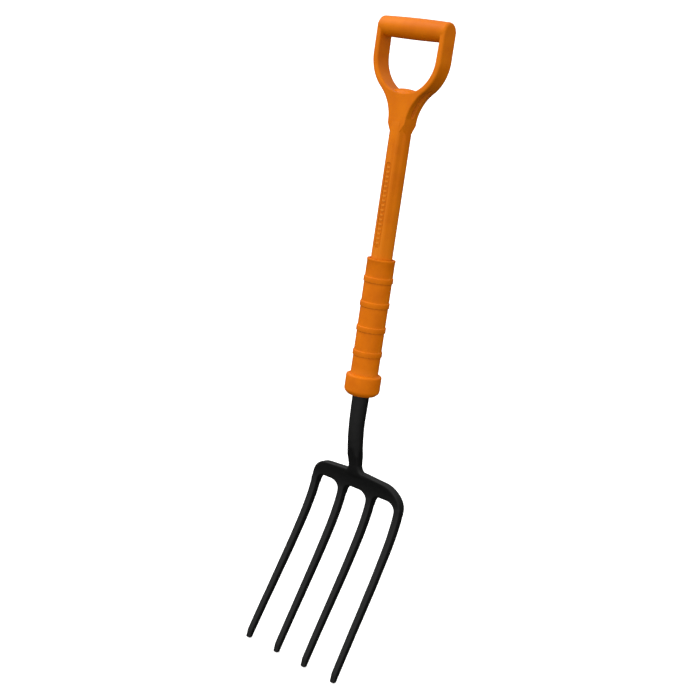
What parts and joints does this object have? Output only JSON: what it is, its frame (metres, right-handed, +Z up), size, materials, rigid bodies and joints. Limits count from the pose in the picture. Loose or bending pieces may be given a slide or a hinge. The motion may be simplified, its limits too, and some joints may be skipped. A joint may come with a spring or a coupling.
{
  "type": "digging fork",
  "caption": "Four-tine digging fork with a forged steel head, a ribbed insulating sleeve and guard collar, and a moulded polymer shaft ending in a D-grip.",
  "frame": {"origin": "the middle of the grip bar, by which the fork is held or hung up", "axes": "+Z up along the shaft, +X along the grip bar, -Y towards the hollow front of the tines"},
  "size_m": [0.204, 0.1193, 1.0561],
  "materials": {
    "painted_steel": "satin black paint over a drop forging",
    "orange_polymer": "moulded, satin gloss",
    "orange_sleeve": "moulded, satin gloss",
    "glass_fibre": "pultruded glass-fibre rod",
    "rivet_steel": "plain"
  },
  "bodies": {
    "root": {"fork_head": "painted_steel", "handle_moulding": "orange_polymer", "insulating_sleeve": "orange_sleeve", "guard_collar": "orange_sleeve", "shaft_core": "glass_fibre", "rivet_lower": "rivet_steel", "rivet_upper": "rivet_steel"}
  },
  "joints": []
}
